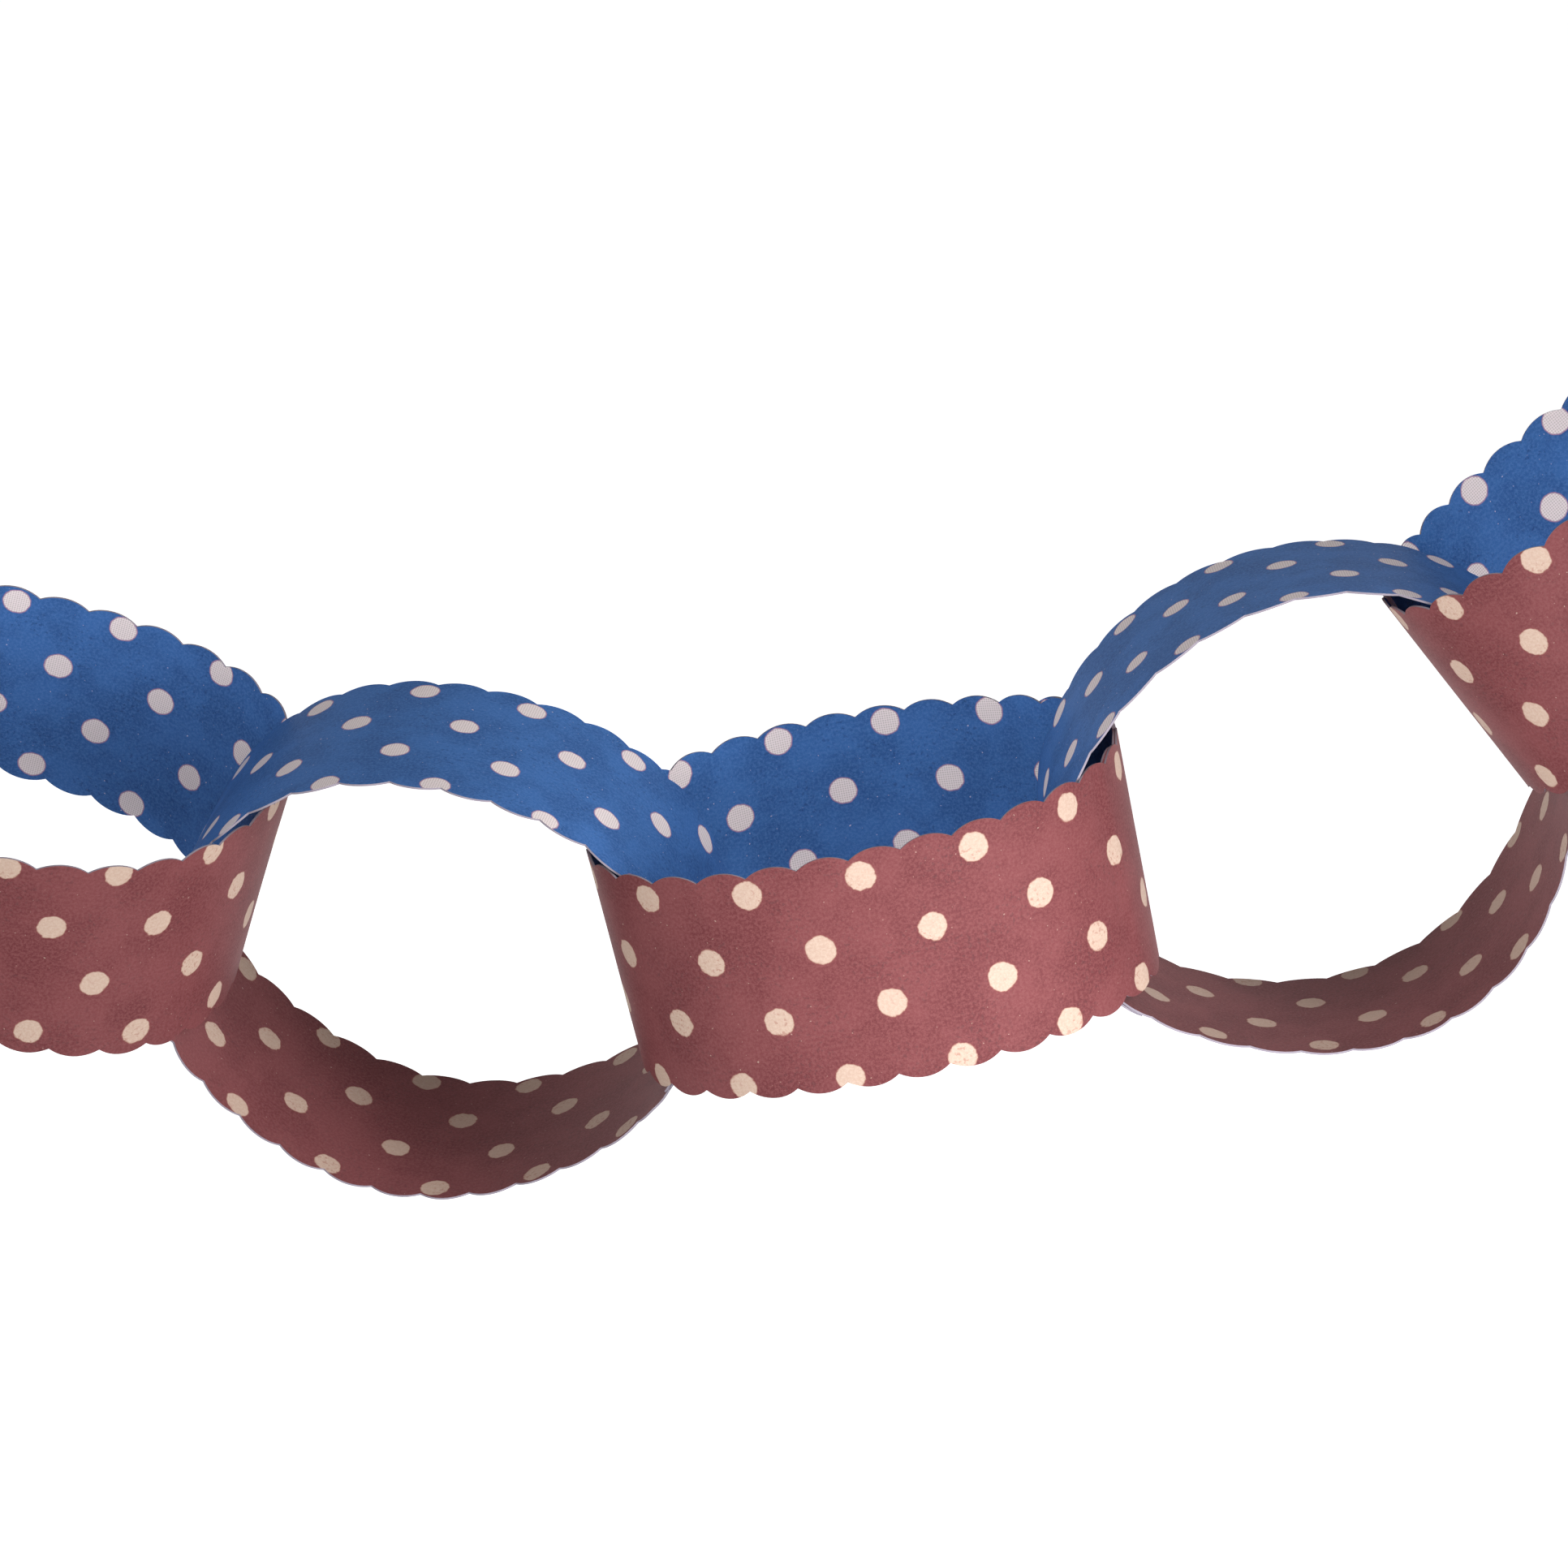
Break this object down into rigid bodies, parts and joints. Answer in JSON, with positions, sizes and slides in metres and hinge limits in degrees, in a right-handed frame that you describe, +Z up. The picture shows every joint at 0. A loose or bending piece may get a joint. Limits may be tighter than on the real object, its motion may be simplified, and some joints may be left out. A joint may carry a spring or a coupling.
{
  "type": "paper chain garland",
  "caption": "Paper chain garland of interlocked loops, each a dotted paper strip with scalloped edges glued end to end.",
  "frame": {"origin": "inside the far bend of the upper end link, where a thread would hold the chain", "axes": "+X runs along the chain to its upper end, +Y points away from the front, +Z is up"},
  "size_m": [0.2834, 0.0697, 0.1202],
  "materials": {
    "link_1": "matt printed paper, maroon with cream dots outside, blue with pale dots inside",
    "link_2": "matt printed paper, blue with pale dots outside, maroon with cream dots inside",
    "link_3": "matt printed paper, maroon with cream dots outside, blue with pale dots inside",
    "link_4": "matt printed paper, blue with pale dots outside, maroon with cream dots inside",
    "link_5": "matt printed paper, maroon with cream dots outside, blue with pale dots inside"
  },
  "bodies": {
    "root": {"link_1": "link_1", "link_2": "link_2", "link_3": "link_3", "link_4": "link_4", "link_5": "link_5"}
  },
  "joints": []
}
